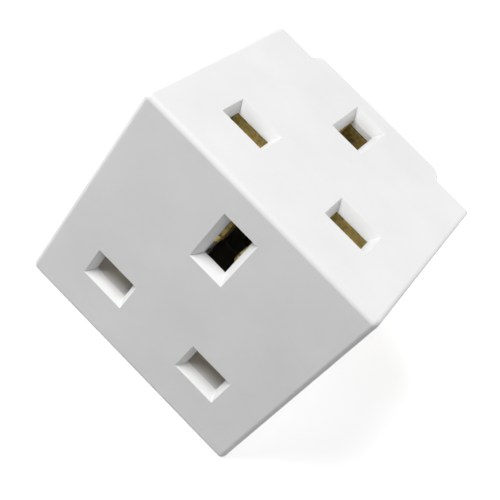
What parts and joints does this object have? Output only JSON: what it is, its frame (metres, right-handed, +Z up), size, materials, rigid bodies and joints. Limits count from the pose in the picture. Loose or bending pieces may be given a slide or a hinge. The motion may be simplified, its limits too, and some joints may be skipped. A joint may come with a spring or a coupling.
{
  "type": "multi socket adapter",
  "caption": "White cube mains adapter with fused rectangular plug pins on its back and shuttered sockets in its front and top faces.",
  "frame": {"origin": "middle of the bottom face of the cube, which it rests on", "axes": "+Z up through the top socket face, -Y out of the front socket face, +Y along the plug pins, X across"},
  "size_m": [0.0478, 0.0677, 0.0452],
  "materials": {
    "body_plastic": "smooth moulded, satin",
    "inner_plastic": "moulded",
    "shutter_plastic": "moulded",
    "sleeve_plastic": "moulded",
    "fuse_ceramic": "unglazed ceramic",
    "pin_brass": "drawn, lightly polished",
    "strip_brass": "rolled strip",
    "contact_brass": "rolled strip",
    "rivet_brass": "turned",
    "clip_metal": "rolled strip",
    "fuse_cap_metal": "nickel plated",
    "screw_steel": "zinc plated",
    "spring_steel": "drawn wire"
  },
  "bodies": {
    "casing": {"housing": "body_plastic", "back_cover": "body_plastic", "front_retainer": "inner_plastic", "top_retainer": "inner_plastic", "line_pin": "pin_brass", "neutral_pin": "pin_brass", "earth_pin": "pin_brass", "line_pin_sleeve": "sleeve_plastic", "neutral_pin_sleeve": "sleeve_plastic", "line_rail": "strip_brass", "neutral_rail": "strip_brass", "earth_rail": "strip_brass", "line_link": "strip_brass", "front_line_contact": "contact_brass", "front_neutral_contact": "contact_brass", "top_line_contact": "contact_brass", "top_neutral_contact": "contact_brass", "front_earth_contact": "contact_brass", "top_earth_contact": "contact_brass", "supply_fuse_clip": "clip_metal", "load_fuse_clip": "clip_metal", "rail_rivets": "rivet_brass", "retainer_screws": "screw_steel", "cover_screws": "screw_steel", "front_shutter_spring": "spring_steel", "top_shutter_spring": "spring_steel"},
    "front_shutter": {"front_shutter": "shutter_plastic"},
    "top_shutter": {"top_shutter": "shutter_plastic"},
    "fuse_carrier": {"fuse_carrier": "body_plastic", "fuse_tube": "fuse_ceramic", "fuse_caps": "fuse_cap_metal"}
  },
  "joints": [
    {"name": "front_shutter_slide", "type": "slide", "parent": "casing", "child": "front_shutter", "axis": [0, 0, -1], "range_m": [0, 0.0046], "stiffness_N_per_m": 300, "springref_m": -0.004, "deforming": ["front_shutter_spring"]},
    {"name": "top_shutter_slide", "type": "slide", "parent": "casing", "child": "top_shutter", "axis": [0, -1, 0], "range_m": [0, 0.0046], "stiffness_N_per_m": 300, "springref_m": -0.004, "deforming": ["top_shutter_spring"]},
    {"name": "fuse_carrier_slide", "type": "slide", "parent": "casing", "child": "fuse_carrier", "axis": [0, 1, 0], "range_m": [0, 0.01]}
  ]
}
